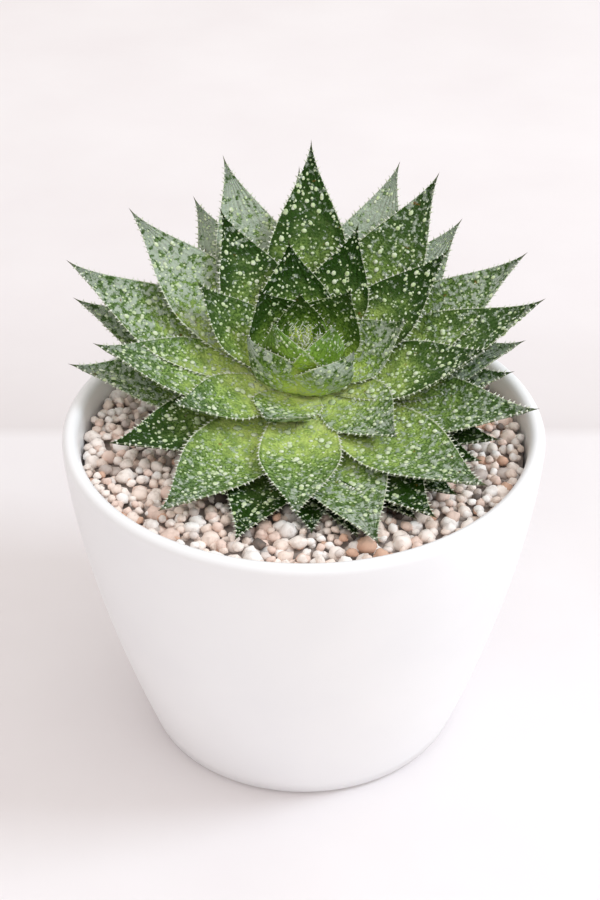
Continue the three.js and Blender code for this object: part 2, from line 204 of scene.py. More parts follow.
WIDEST_AT = 0.46
TAPER_POWER = 1.7
POINT_POWER = 1.7
THICKEST_AT = 0.4
ROOT_THICKNESS_SHARE = 0.62
TIP_THICKNESS_SHARE = 0.22
THINNING_POWER = 1.4
TIP_CLOSING = 12
CHANNEL_POWER = 1.6
BACK_ROUND_POWERS = (2.2, 0.75)
SWELL_HEIGHT = 0.25 * MM
SWELL_PITCH = (1.7, 6, 3.1)
BLADE_COLUMNS = 40
BLADE_ROWS = 36
TOOTH_PITCH = 2.0 * MM
TOOTH_HEIGHT = (0.6 * MM, 1.1 * MM)
TOOTH_RADIUS = 0.36 * MM
TOOTH_FLATNESS = 0.6
TOOTH_WIDTH_BY_AGE = (0.5, 1.1)
TOOTH_LEAN = 0.6
TOOTH_JITTER = 0.3
TEETH_FROM, TEETH_SPAN = 0.16, 0.8
DOT_RADIUS = (0.3 * MM, 1.1 * MM)
DOT_SMALL_POWER = 1.6
DOT_SPACING = 3.0 * MM
DOT_ROWS = 4
DOT_ROWS_FROM = 0.68
DOT_SIZE_BY_AGE = (0.55, 1)
DOT_HEIGHT_SHARE = 0.42
DOT_WIDTH_LIMIT = 0.16
DOT_STRETCH = (0.75, 1.2)
DOTS_ALONG = (0.1, 0.96)
DOTS_ACROSS = 0.88
SKY = [Vector((0, 0, 1))]  # straight up, and two rings of six directions lower down
SKY += [Vector((math.cos(turn), math.sin(turn), rise)).normalized()
        for rise in (0.4, 1.3) for turn in (0, 1.05, 2.09, 3.14, 4.19, 5.24)]
CLEAR_OF_SKIN = 0.9 * MM
SHADE_REACH = 5 * MM
MARBLING_PER_MM = 0.25
CELLS_PER_MM = 1.3
CLOUDS_PER_MM = 0.35
BLOOM_PATCHES_PER_MM = 0.5
FLECKS_PER_MM = 0.65
SCARS_PER_MM = 0.3
CALLUS_GRAIN = 1.43 * MM
HORN_GRAIN = 1.67 * MM

# One row a leaf, from the heart outward: azimuth of the tip in degrees from +X toward +Y, elevation
# of the tip in degrees, reach to the tip in millimetres, share of the full width, sideways sweep of
# the root in degrees, and shares of grey bloom and of dark green on the blade. The dark green is an
# inner leaf's own colour, and painted shade on the low leaves at the front that lie near the
# gravel.
LEAVES = [
    (45, 74, 21.5, 0.7, 0, 0.1, 0), (135, 74, 21.5, 0.7, 0, 0.1, 0),
    (8, 71, 24.8, 1.35, -85, 0.1, 0), (170, 71, 25, 1.4, 88, 0.1, 0),
    (95, 62, 26.5, 1, 0, 0, 0.5), (46, 52, 30, 1.3, 30, 0, 0.6), (131, 51, 29.5, 1.3, -30, 0, 0.7),
    (170, 47.5, 23, 1.3, 98, 0.5, 0.3), (346, 51, 22.3, 1.35, -80, 0.65, 0.3),
    (97, 33, 41, 1.2, 0, 0, 1), (18, 29, 34, 1.3, 5, 0.5, 0.2), (146, 30, 41, 1, 0, 0.1, 0.5),
    (68, 31, 48, 1, 0, 0, 1), (243, 22, 25.5, 1.5, 30, 0.45, 0.05),
    (310, 17, 40, 1.08, 48, 0.45, 0.1), (208, 18, 42, 1, 0, 0.2, 0.1),
    (36, 25, 55, 1, 0, 0.1, 0.75), (118, 26, 56, 1, 0, 0.1, 0.75), (354, 22, 54, 1, 0, 0.15, 0.6),
    (268, 14, 59, 1, 0, 0.25, 0.1), (88, 27, 72, 0.95, 0, 0.1, 0.75),
    (179, 15, 59, 1, 0, 0.3, 0.1), (236, 11, 67, 1, 0, 0.3, 0.15), (313, 14, 70, 1, 0, 0.35, 0.1),
    (286, 11, 69, 1, 0, 0.45, 0.15), (139, 22, 70, 1, 0, 0.65, 0.2), (54, 25, 72, 1, 0, 0.25, 0.55),
    (10, 18, 70, 1, 0, 0.2, 0.5), (110, 22, 73, 1, 0, 0.75, 0.1), (66, 21, 73, 1, 0, 0.85, 0.05),
    (158, 17, 74, 1, 0, 0.5, 0.2), (25, 18, 72, 1, 0, 0.45, 0.2), (341, 12, 67, 1, 0, 0.35, 0.35),
    (254, 8, 64, 1, 0, 0.1, 0.8), (301, 10, 66, 1, 0, 0.1, 0.8), (208, 7, 59, 1, 0, 0.1, 0.7),
    (159, 7, 70, 1, 0, 0.5, 0.2), (178, 5, 65, 1, 0, 0.5, 0.2), (91, 12, 74, 1, 0, 0.85, 0),
    (118, 12, 70, 1, 0, 0.85, 0), (48, 12, 70, 1, 0, 0.8, 0), (5, 11, 62, 1, 0, 0.55, 0.1),
    (0, 5, 58, 1, 0, 0.3, 0.4), (346, 5, 58, 1, 0, 0.1, 0.6), (335, 5, 58, 1, 0, 0.1, 0.7),
    (326, 5, 57, 1, 0, 0.1, 0.8), (312, 6, 60, 1, 0, 0.1, 0.8), (299, 6, 60, 1, 0, 0.1, 0.8),
    (283, 7, 61, 1, 0, 0.1, 0.8), (272, 7, 58, 1, 0, 0.1, 0.8), (235, 6, 54, 1, 0, 0.1, 0.8),
    (70, -1, 54, 1, 0, 0.5, 0.3), (110, -1, 54, 1, 0, 0.5, 0.3), (146, 1, 55, 1, 0, 0.5, 0.3),
    (32, 1, 55, 1, 0, 0.5, 0.3),
]


def blend(ends, share):
    """The value at a share of the way from one end to the other."""
    return ends[0] + (ends[1] - ends[0]) * share


def from_crown(radius, azimuth, height):
    """A point at a radius and height about an upright axis."""
    return Vector((radius * math.cos(azimuth), radius * math.sin(azimuth), height))


def crown_radius(height):
    """Radius of the crown of packed leaf bases, at a height on the rosette's axis."""
    for (low, low_radius), (high, high_radius) in zip(CROWN_PROFILE, CROWN_PROFILE[1:]):
        if height / MM <= high:
            return blend((low_radius, high_radius), (height / MM - low) / (high - low)) * MM
    return CROWN_PROFILE[-1][1] * MM


class Blade:
    """Centre line and sizes of one leaf, and the places of points on it."""

    def __init__(self, index):
        azimuth, elevation, reach, fullness, sweep, self.bloom, self.shade = LEAVES[index]
        self.index = index
        self.age = min(1, index / INNER_LEAVES)
        azimuth, elevation, sweep = (math.radians(angle) for angle in (azimuth, elevation, sweep))
        root_height = blend(ROOT_HEIGHT, (index / (len(LEAVES) - 1)) ** ROOT_HEIGHT_POWER)
        root = from_crown(crown_radius(root_height) - ROOT_SINK, azimuth + sweep, root_height)
        tip = from_crown(reach * MM * math.cos(elevation), azimuth,
                         TIP_ORIGIN_HEIGHT + reach * MM * math.sin(elevation))
        chord = tip - root
        self.length = chord.length
        facing = azimuth + FACING_SHARE * sweep
        self.side = Vector((-math.sin(facing), math.cos(facing), 0))
        self.side = (self.side - self.side.project(chord)).normalized()
        under = self.side.cross(chord).normalized()
        sag = CUP_SAG.get(index, blend(SAG, self.age))
        bend = (root + tip) / 2 + under * 2 * sag * self.length
        self.ends = root, bend, tip
        self.base_width = blend(BASE_WIDTH_SHARE, self.age)
        self.base_cup = blend(BASE_CUP, self.age)
        self.half_width = fullness * WIDTH_PER_ROOT_LENGTH * math.sqrt(self.length) / 2
        self.thickness = THICKNESS_BASE + THICKNESS_PER_LENGTH * self.length

    def centre(self, s):
        """A point of the centre line, s being 0 at the root and 1 at the tip."""
        root, bend, tip = self.ends
        return root * (1 - s) ** 2 + bend * 2 * s * (1 - s) + tip * s * s

    def ahead(self, s):
        """Direction along the centre line toward the tip."""
        root, bend, tip = self.ends
        return ((bend - root) * (1 - s) + (tip - bend) * s).normalized()

    def up(self, s):
        """Direction out of the upper face, square to the centre line."""
        return self.ahead(s).cross(self.side).normalized()

    def half(self, s):
        """Half of the width: a quick swell from the root, then a long drawn-out point."""
        if s < WIDEST_AT:
            swell = math.sin(s / WIDEST_AT * math.pi / 2)
            return self.half_width * blend((self.base_width, 1), swell)
        tapered = 1 - ((s - WIDEST_AT) / (1 - WIDEST_AT)) ** TAPER_POWER
        return self.half_width * max(0, tapered) ** POINT_POWER

    def depth(self, s):
        """Thickness in the middle of the blade, which closes at the very tip."""
        if s < THICKEST_AT:
            share = blend((ROOT_THICKNESS_SHARE, 1), math.sin(s / THICKEST_AT * math.pi / 2))
        else:
            thinned = ((s - THICKEST_AT) / (1 - THICKEST_AT)) ** THINNING_POWER
            share = blend((1, TIP_THICKNESS_SHARE), thinned)
        return self.thickness * share * min(1, (1 - s) * TIP_CLOSING)

    def cup(self, s):
        """How far the margins stand over the middle of the channel."""
        return blend((self.base_cup, BLADE_CUP), min(1, s / WIDEST_AT)) * 2 * self.half(s)

    def face(self, s, across, below=False):
        """A point of the upper face, or of the back, and the direction out of it."""
        height = self.cup(s) * abs(across) ** CHANNEL_POWER
        if below:
            squareness, fullness = BACK_ROUND_POWERS
            rounded = (1 - abs(across) ** squareness) ** fullness
            height = self.cup(s) * across ** 2 - self.depth(s) * rounded
        wide, long, leaf = SWELL_PITCH
        swell = noise.noise(Vector((across * wide, s * long, self.index * leaf + below)))
        height += SWELL_HEIGHT * swell * (1 - abs(across)) * min(1, (1 - s) * 4)
        point = self.centre(s) + self.side * across * self.half(s) + self.up(s) * height
        return ROSETTE @ point

    def out(self, s, below=False):
        """Direction out of the upper face, or out of the back."""
        return ROSETTE.to_3x3() @ (self.up(s) * (-1 if below else 1))


def small_shape(name, mesh_in_work, material=0):
    """A small shape that is stamped many times, as a mesh whose faces take one of the materials."""
    mesh = bpy.data.meshes.new(name)
    for face in mesh_in_work.faces:
        face.material_index = material
    mesh_in_work.to_mesh(mesh)
    mesh_in_work.free()
    return mesh


def stamp(mesh_in_work, shape, place, out, ahead, sizes):
    """Adds a copy of a small shape, its Z turned out of a surface and its Y ahead along it."""
    flat = out.cross(ahead).normalized()
    turn = Matrix((flat, out.cross(flat), out)).transposed().to_4x4()
    copy = shape.copy()
    copy.transform(Matrix.Translation(place) @ turn @ Matrix.Diagonal((*sizes, 1)))
    mesh_in_work.from_mesh(copy)
    bpy.data.meshes.remove(copy)


# The leaves as they stand in the rosette, for rays that look for sky between them
standing = bmesh.new()
for index in range(len(LEAVES)):
    standing.from_mesh(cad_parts[f"leaf_{index + 1:02d}"].data)
neighbours = BVHTree.FromBMesh(standing)
standing.free()


def openness(point, normal, reach):
    """Share of the sky over a point that no leaf covers within a reach."""
    seen = total = 0.001
    for ray in SKY:
        facing = normal.dot(ray)
        if facing > 0.1:
            hit, _, _, distance = neighbours.ray_cast(point + normal * CLEAR_OF_SKIN, ray, reach)
            total += facing
            seen += facing * (distance / reach if hit else 1)
    return seen / total


CALLUS, HORN = 1, 2
shape = bmesh.new()
bmesh.ops.create_cone(shape, cap_ends=True, segments=5, radius1=1, radius2=0, depth=1.3,
                      matrix=Matrix.Translation((0, 0, 0.35)))
tooth_shape = small_shape("tooth", shape, HORN)
shape = bmesh.new()
bmesh.ops.create_uvsphere(shape, u_segments=8, v_segments=4, radius=1)
bmesh.ops.bisect_plane(shape, geom=[*shape.verts, *shape.edges, *shape.faces], clear_inner=True,
                       plane_co=(0, 0, -0.1), plane_no=(0, 0, 1))
bmesh.ops.holes_fill(shape, edges=[edge for edge in shape.edges if edge.is_boundary], sides=0)
dot_shape = small_shape("dot", shape, CALLUS)


def build_blade(blade, chance):
    """One leaf: a grid wrapped round into a closed blade, then its teeth and its dots. Its points
    keep their share of the length and width and of open sky, their place in millimetres on the
    skin, and the leaf's age, bloom and dark green."""
    mesh = bmesh.new()
    share = mesh.verts.layers.float_vector.new("blade_share")
    spot = mesh.verts.layers.float_vector.new("blade_millimetres")
    tone = mesh.verts.layers.float_vector.new("blade_tone")
    bmesh.ops.create_grid(mesh, x_segments=BLADE_COLUMNS, y_segments=BLADE_ROWS, size=0.5)
    for vertex in mesh.verts:
        round_share, s = vertex.co.x + 0.5, vertex.co.y + 0.5
        below = round_share > 0.5
        across = -math.cos(round_share * 2 * math.pi)
        vertex[share] = (s, across, 0)
        vertex[spot] = (across * blade.half(s) / MM, s * blade.length / MM,
                        PATTERN_STEP * (2 * blade.index + below))
        vertex.co = blade.face(s, across, below)
    bmesh.ops.remove_doubles(mesh, verts=mesh.verts, dist=SAME_PLACE / 2)
    bmesh.ops.holes_fill(mesh, edges=[edge for edge in mesh.edges if edge.is_boundary], sides=0)
    bmesh.ops.recalc_face_normals(mesh, faces=mesh.faces)
    turn = ROSETTE.to_3x3()
    teeth = round(blade.length / TOOTH_PITCH)
    for k in range(teeth):
        for across in (-1, 1):
            step = k + 0.5 + TOOTH_JITTER * chance.uniform(-1, 1)
            s = TEETH_FROM + TEETH_SPAN * step / teeth
            out = (blade.side * across + blade.ahead(s) * TOOTH_LEAN).normalized()
            height = blend(TOOTH_HEIGHT, chance.random())
            width = blend(TOOTH_WIDTH_BY_AGE, blade.age) * TOOTH_RADIUS
            stamp(mesh, tooth_shape, blade.face(s, across), turn @ out, turn @ blade.ahead(s),
                  (TOOTH_FLATNESS * TOOTH_RADIUS, width, height))
    area = blade.length * 2 * blade.half_width
    for below in (False, True):
        for k in range(round(area / DOT_SPACING ** 2)):
            s, across = chance.uniform(*DOTS_ALONG), chance.uniform(-DOTS_ACROSS, DOTS_ACROSS)
            size = blend(DOT_RADIUS, chance.random() ** DOT_SMALL_POWER) * (1.1 - 0.5 * s)
            size *= blend(DOT_SIZE_BY_AGE, blade.age)
            size = min(size, DOT_WIDTH_LIMIT * blade.half(s))
            if chance.random() * blade.half_width > blade.half(s):
                continue
            stretch = chance.uniform(*DOT_STRETCH)
            if s > DOT_ROWS_FROM:
                row = math.floor(across * DOT_ROWS) + 0.5
                across = (row + chance.uniform(-0.1, 0.1)) / DOT_ROWS
                stretch += 3 * (s - DOT_ROWS_FROM)
            stamp(mesh, dot_shape, blade.face(s, across, below), blade.out(s, below),
                  turn @ blade.ahead(s), (size, size * stretch, DOT_HEIGHT_SHARE * size))
    mesh.normal_update()
    for vertex in mesh.verts:
        vertex[tone] = (blade.age, blade.bloom, blade.shade)
        vertex[share].z = openness(vertex.co, vertex.normal, SHADE_REACH)
    return mesh


# Living leaf skin: a waxy cuticle over watery flesh, lime green at the base and dark green to the
# tip, marbled and dusted grey with bloom. The wax gives a soft sheen, the flesh a slight glow.
skin, tree, surface = new_material("waxy_aloe_leaf_skin")
share = add_node(tree, "Attribute", {"attribute_name": "blade_share"})
spot = add_node(tree, "Attribute", {"attribute_name": "blade_millimetres"})
tone = add_node(tree, "Attribute", {"attribute_name": "blade_tone"})
along, across, open_sky = add_node(tree, "SeparateXYZ", links={0: share}).node.outputs
age, bloom, shade = add_node(tree, "SeparateXYZ", links={0: tone}).node.outputs

# Ground colour: marbled patches of about 4 mm shift the change from lime to green
marbling = add_node(tree, "TexNoise", {"Scale": MARBLING_PER_MM, "Detail": 4}, {"Vector": spot})
shifted = add_node(tree, "Math", {"operation": "MULTIPLY_ADD", 1: 0.5}, {0: marbling, 2: along})
young = add_node(tree, "ValToRGB", {"stops": [(0.35, "D2EA58"), (0.55, "B6DA46"), (0.75, "96C240"),
                                              (1.0, "84AE42")]}, {"Fac": shifted})
old = add_node(tree, "ValToRGB", {"stops": [(0.28, "F4FBB4"), (0.5, "CEE47E"), (0.75, "A0C066"),
                                            (1.0, "88A66C")]}, {"Fac": shifted})
skin_colour = add_node(tree, "Mix", {"data_type": "RGBA"}, {0: age, 6: young, 7: old})

# Dark green, which gathers at a leaf's tip and along its margins: an inner leaf's own colour, and
# painted shade on the low leaves. Every leaf gets a little of it too, partly its own colour and
# partly painted shade that rounds the blade.
outward = add_node(tree, "Math", {"operation": "ABSOLUTE"}, {0: across})
rim = add_node(tree, "Math", {"operation": "POWER", 1: 2.5}, {0: outward})
tipward = add_node(tree, "MapRange", {1: 0.52, 2: 0.98}, {0: shifted})
tipward = add_node(tree, "Math", {"operation": "MULTIPLY_ADD", 1: 0.6, "use_clamp": True},
                   {0: rim, 2: tipward})
shaded = add_node(tree, "Math", {"operation": "ADD", 1: 0.2, "use_clamp": True}, {0: shade})
dark = add_node(tree, "Math", {"operation": "MULTIPLY"}, {0: tipward, 1: shaded})
skin_colour = add_node(tree, "Mix", {"data_type": "RGBA", 7: "1C3608"}, {0: dark, 6: skin_colour})

# Dark green cells in a stipple of about 0.8 mm and in clouds of about 3 mm, more of them toward the
# tip and on old or dark leaves. Real cells are far finer: these are clusters of them.
grain = add_node(tree, "TexNoise", {"Scale": CELLS_PER_MM, "Detail": 2, "Roughness": 0.55},
                 {"Vector": spot})
stipple = add_node(tree, "MapRange", {1: 0.47, 2: 0.57, 3: 0.0, 4: 0.78}, {0: grain})
clouds = add_node(tree, "TexNoise", {"Scale": CLOUDS_PER_MM, "Detail": 3, "Roughness": 0.6},
                  {"Vector": spot})
clouds = add_node(tree, "MapRange", {1: 0.44, 2: 0.62, 3: 0.0, 4: 0.6}, {0: clouds})
risen = add_node(tree, "MapRange", {1: 0.42, 2: 0.82, 3: 0.12, 4: 1.0}, {0: shifted})
cells = add_node(tree, "Math", {"operation": "MAXIMUM"}, {0: stipple, 1: clouds})
cells = add_node(tree, "Math", {"operation": "MULTIPLY"}, {0: cells, 1: risen})
grown = add_node(tree, "Math", {"operation": "MULTIPLY_ADD", 1: 0.65, 2: 0.35}, {0: age})
grown = add_node(tree, "Math", {"operation": "ADD", "use_clamp": True}, {0: grown, 1: shade})
cells = add_node(tree, "Math", {"operation": "MULTIPLY"}, {0: cells, 1: grown})
skin_colour = add_node(tree, "Mix", {"data_type": "RGBA", 7: "2B4D12"}, {0: cells, 6: skin_colour})

# Veins: dark furrows between the rows of dots that run together at the tip
furrow = add_node(tree, "Math", {"operation": "MULTIPLY", 1: DOT_ROWS}, {0: outward})
furrow = add_node(tree, "Math", {"operation": "PINGPONG", 1: 0.5}, {0: furrow})
ahead = add_node(tree, "MapRange", {1: 0.45, 2: 0.85}, {0: along})
lines = add_node(tree, "MapRange", {1: 0.04, 2: 0.2, 3: 0.6, 4: 0.0}, {0: furrow})
lines = add_node(tree, "Math", {"operation": "MULTIPLY"}, {0: lines, 1: ahead})
skin_colour = add_node(tree, "Mix", {"data_type": "RGBA", 7: "2A4419"}, {0: lines, 6: skin_colour})

# Grey bloom that flakes off in patches of about 2 mm, and pale flecks of about 0.6 mm between the
# raised dots
worn = add_node(tree, "TexNoise", {"Scale": BLOOM_PATCHES_PER_MM, "Detail": 4, "Roughness": 0.65},
                {"Vector": spot})
worn = add_node(tree, "Math", {"operation": "MULTIPLY_ADD", 1: 0.25}, {0: bloom, 2: worn})
worn = add_node(tree, "Math", {"operation": "MULTIPLY_ADD", 1: 0.15}, {0: along, 2: worn})
dusted = add_node(tree, "MapRange", {1: 0.69, 2: 0.78, 3: 0.0, 4: 0.82}, {0: worn})
skin_colour = add_node(tree, "Mix", {"data_type": "RGBA", 7: "B9C5B4"}, {0: dusted, 6: skin_colour})
flecks = add_node(tree, "TexVoronoi", {"Scale": FLECKS_PER_MM}, {"Vector": spot})
flecks = add_node(tree, "MapRange", {1: 0.16, 2: 0.25, 3: 0.9, 4: 0.0}, {0: flecks})
skin_colour = add_node(tree, "Mix", {"data_type": "RGBA", 7: "D2E2B4"}, {0: flecks, 6: skin_colour})

# Rust-brown scars, few and small
scars = add_node(tree, "TexNoise", {"Scale": SCARS_PER_MM, "Detail": 4, "Roughness": 0.7},
                 {"Vector": spot})
scars = add_node(tree, "MapRange", {1: 0.66, 2: 0.7, 3: 0.0, 4: 0.7}, {0: scars})
skin_colour = add_node(tree, "Mix", {"data_type": "RGBA", 7: "7E5A24"}, {0: scars, 6: skin_colour})

# Horny margin: a broken pale line with a dark one inside it; and a dry tip
inside = add_node(tree, "ValToRGB", {"stops": [(0.9, "000000"), (0.945, "8C8C8C"),
                                               (0.965, "000000")]}, {"Fac": outward})
skin_colour = add_node(tree, "Mix", {"data_type": "RGBA", 7: "27400F"}, {0: inside, 6: skin_colour})
margin = add_node(tree, "MapRange", {1: 0.965, 2: 0.985, 3: 0.0, 4: 1.0}, {0: outward})
dashes = add_node(tree, "MapRange", {1: 0.4, 2: 0.55, 3: 0.3, 4: 0.9}, {0: grain})
margin = add_node(tree, "Math", {"operation": "MULTIPLY"}, {0: margin, 1: dashes})
skin_colour = add_node(tree, "Mix", {"data_type": "RGBA", 7: "DCE6C0"}, {0: margin, 6: skin_colour})
dry = add_node(tree, "MapRange", {1: 0.95, 2: 0.985}, {0: along})
skin_colour = add_node(tree, "Mix", {"data_type": "RGBA", 7: "6E6C50"}, {0: dry, 6: skin_colour})

# Painted shade: where a neighbour leans over it the skin is painted a much deeper green that hides
# the bloom, and most of all low down, close over the gravel
place = add_node(tree, "TexCoord").node.outputs["Object"]
height = add_node(tree, "SeparateXYZ", links={0: place}).node.outputs["Z"]
low = add_node(tree, "MapRange", {1: 92 * MM, 2: 103 * MM, 3: 1.0, 4: 0.6}, {0: height})
painted_shade = add_node(tree, "MapRange", {1: 0.05, 2: 0.48, 3: 0.95, 4: 0.0}, {0: open_sky})
painted_shade = add_node(tree, "Math", {"operation": "MULTIPLY"}, {0: painted_shade, 1: low})
skin_colour = add_node(tree, "Mix", {"data_type": "RGBA", 7: "122606"},
                       {0: painted_shade, 6: skin_colour})

# Relief: ribs between the furrows, with the marbling and the dark cells a little swollen
ridges = add_node(tree, "Math", {"operation": "MULTIPLY"}, {0: furrow, 1: ahead})
relief = add_node(tree, "Math", {"operation": "MULTIPLY_ADD", 1: 1.2}, {0: ridges, 2: grain})
relief = add_node(tree, "Math", {"operation": "MULTIPLY_ADD", 1: 1.5}, {0: marbling, 2: relief})
bump = add_node(tree, "Bump", {"Strength": 0.9, "Distance": 0.7 * MM}, {"Height": relief})
tree.links.new(skin_colour, surface.inputs["Base Color"])
tree.links.new(bump, surface.inputs["Normal"])
surface.inputs["Roughness"].default_value = 0.46
surface.inputs["Specular IOR Level"].default_value = 0.07
surface.inputs["Subsurface Weight"].default_value = 0.12
surface.inputs["Subsurface Radius"].default_value = (0.6, 1.0, 0.3)
surface.inputs["Subsurface Scale"].default_value = 0.002

# Raised dots: the same skin, swollen, dry and with little green left, so they are matt and milky.
callus, tree, surface = new_material("milky_leaf_callus")
place = add_node(tree, "TexCoord").node.outputs["Object"]
milk = add_node(tree, "TexNoise", {"Scale": 1 / CALLUS_GRAIN, "Detail": 2}, {"Vector": place})
milk = add_node(tree, "ValToRGB", {"stops": [(0.3, "B8D090"), (0.55, "D2E2B6"), (0.75, "EEF4E2")]},
                {"Fac": milk})
share = add_node(tree, "Attribute", {"attribute_name": "blade_share"})
# Under a neighbour the dots take painted shade too, a dark green
open_sky = add_node(tree, "SeparateXYZ", links={0: share}).node.outputs["Z"]
painted_shade = add_node(tree, "MapRange", {1: 0.1, 2: 0.62, 3: 0.85, 4: 0.0}, {0: open_sky})
milk = add_node(tree, "Mix", {"data_type": "RGBA", 7: "2E4418"}, {0: painted_shade, 6: milk})
tree.links.new(milk, surface.inputs["Base Color"])
surface.inputs["Roughness"].default_value = 0.6
surface.inputs["Subsurface Weight"].default_value = 0.3
surface.inputs["Subsurface Radius"].default_value = (1.0, 1.0, 0.7)
surface.inputs["Subsurface Scale"].default_value = 0.001

# Teeth and bristles: dead horny tissue, white and half clear, a little glossy.
horn, tree, surface = new_material("horny_leaf_teeth")
place = add_node(tree, "TexCoord").node.outputs["Object"]
clear = add_node(tree, "TexNoise", {"Scale": 1 / HORN_GRAIN, "Detail": 2}, {"Vector": place})
clear = add_node(tree, "ValToRGB", {"stops": [(0.3, "CBD6B4"), (0.7, "F2F4EA")]}, {"Fac": clear})
tree.links.new(clear, surface.inputs["Base Color"])
surface.inputs["Roughness"].default_value = 0.45
surface.inputs["Subsurface Weight"].default_value = 0.3
surface.inputs["Subsurface Radius"].default_value = (1.0, 1.0, 0.8)
surface.inputs["Subsurface Scale"].default_value = 0.001

leaf_pieces = []
for index in range(len(LEAVES)):
    slot = "old_leaf"
    if index < MIDDLE_LEAVES:
        slot = "young_leaf" if index < YOUNG_LEAVES else "middle_leaf"
    number = f"{index + 1:02d}"
    mesh = build_blade(Blade(index), random.Random(index + 1))
    piece = finished(mesh, "blade_" + number, [skin, callus, horn], slot, "leaf_" + number)
    leaf_pieces.append(piece)

# ---------------------------------------------------------------------------------------------
# Stem. A short green stem that the leaves hide, with the crown of their packed bases on it. It
# stands in the soil and holds every leaf.
# ---------------------------------------------------------------------------------------------
RIND_BLOTCH = 5.56 * MM

# Rind that the light hardly reaches: matt, pale green and blotched.
rind, tree, surface = new_material("pale_stem_rind")
place = add_node(tree, "TexCoord").node.outputs["Object"]
blotches = add_node(tree, "TexNoise", {"Scale": 1 / RIND_BLOTCH, "Detail": 3}, {"Vector": place})
tone = add_node(tree, "ValToRGB", {"stops": [(0.3, "5E7A2E"), (0.7, "A9C05C")]}, {"Fac": blotches})
tree.links.new(tone, surface.inputs["Base Color"])
surface.inputs["Roughness"].default_value = 0.7
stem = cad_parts["stem"]
stem.data.materials.clear()
stem.data.materials.append(rind)

# ---------------------------------------------------------------------------------------------
# Heart. The tuft of unopened leaves in the middle, no wider than a fingertip, with long white
# bristles on their tips and margins that lean into each other.
# ---------------------------------------------------------------------------------------------
HEART_FOOT = 16.3 * MM
HEART_RINGS = (  # leaves in the ring, reach of their tips, their height and half width, turn
    (6, 5.0 * MM, 12.6 * MM, 2.0 * MM, 0.1), (5, 3.6 * MM, 14.4 * MM, 1.6 * MM, 0.6),
    (4, 1.8 * MM, 14.8 * MM, 1.2 * MM, 0.2))
HEART_SEED = 99
HEART_TWIST = 0.25
HEART_FOOT_SHARE = 0.6
HEART_DEPTH_SHARE = 0.45
SHAFT_WIDEST_AT = 0.4
SHAFT_BULGE = 2.1
BRISTLES = 12
BRISTLES_FROM = 0.55
BRISTLE_RADIUS = 0.16 * MM
BRISTLE_LENGTH = (1.2 * MM, 2.8 * MM)

heart = bmesh.new()
share = heart.verts.layers.float_vector.new("blade_share")
spot = heart.verts.layers.float_vector.new("blade_millimetres")
tone = heart.verts.layers.float_vector.new("blade_tone")
shape = bmesh.new()
bmesh.ops.create_cone(shape, cap_ends=True, segments=12, radius1=0.75, radius2=0.02, depth=1,
                      matrix=Matrix.Translation((0, 0, 0.5)))
bmesh.ops.bisect_plane(shape, geom=[*shape.verts, *shape.edges, *shape.faces],
                       plane_co=(0, 0, SHAFT_WIDEST_AT), plane_no=(0, 0, 1))
for vertex in shape.verts:
    if abs(vertex.co.z - SHAFT_WIDEST_AT) < 0.1:
        vertex.co.xy *= SHAFT_BULGE
shaft_shape = small_shape("shaft", shape)
chance = random.Random(HEART_SEED)
turn = ROSETTE.to_3x3()
for count, reach, height, half_width, turned in HEART_RINGS:
    for k in range(count):
        azimuth = 2 * math.pi * (k + turned) / count
        foot = from_crown(HEART_FOOT_SHARE * reach, azimuth, HEART_FOOT)
        tip = from_crown(reach, azimuth + HEART_TWIST, HEART_FOOT + height * chance.uniform(0.9, 1))
        out = (tip - foot).normalized()
        side = Vector((-math.sin(azimuth), math.cos(azimuth), 0))
        stamp(heart, shaft_shape, ROSETTE @ foot, turn @ out, turn @ from_crown(1, azimuth, 0),
              (half_width, HEART_DEPTH_SHARE * half_width, (tip - foot).length))
        # Bristles on both margins of the upper half, that point up, aside and inward
        for j in range(BRISTLES):
            high = BRISTLES_FROM + (1 - BRISTLES_FROM) * j / (BRISTLES - 1)
            start = foot + (tip - foot) * high + side * 1.6 * half_width * (1 - high) * (-1) ** j
            lean = out * 0.9 + side * (-1) ** j * 0.7 - from_crown(0.5, azimuth, 0)
            lean += Vector([chance.uniform(-0.4, 0.4) for axis in range(3)])
            stamp(heart, tooth_shape, ROSETTE @ start, turn @ lean.normalized(), turn @ side,
                  (BRISTLE_RADIUS, BRISTLE_RADIUS, blend(BRISTLE_LENGTH, chance.random())))
# The skin of a young leaf's lime-green base, frosted with bloom, under open sky
for vertex in heart.verts:
    vertex[share] = (0.15, 0, 1)
    vertex[spot] = 3 * vertex.co / MM
    vertex[tone] = (0, 0.7, 0)
finished(heart, "heart_tuft", [skin, callus, horn], "young_leaf", "heart")

# ---------------------------------------------------------------------------------------------
# Gravel. Washed river gravel of 3 to 6 mm, mostly cream and beige with some tan, white and grey
# stones, poured over the soil round the plant and left as it fell.
# ---------------------------------------------------------------------------------------------
GRAVEL_TOP = 90.8 * MM
GRAVEL_BED_TOP = 87.4 * MM
GRAVEL_BED_FOOT = 80.4 * MM
PEBBLE_RADIUS = (1.25 * MM, 3.2 * MM)
PEBBLE_LAYERS = ((-2.0 * MM, 700), (-0.9 * MM, 800), (0, 800))
PEBBLE_SHAPES = 12
PEBBLE_KNOBS = 0.38
PEBBLE_SMALL_POWER = 1.8
PEBBLE_BREADTH = (0.75, 1)
PEBBLE_DEPTH = (0.62, 0.85)
PEBBLE_CLOSENESS = 0.92
PEBBLE_TRIES = 12
PEBBLE_TILT = 0.5
CLEAR_OF_LEAF = 0.2 * MM
BED_KIND = 0.97
PEBBLE_SHADE_REACH = 10 * MM
PEBBLE_SEED = 7
STONE_STAIN = 2 * MM
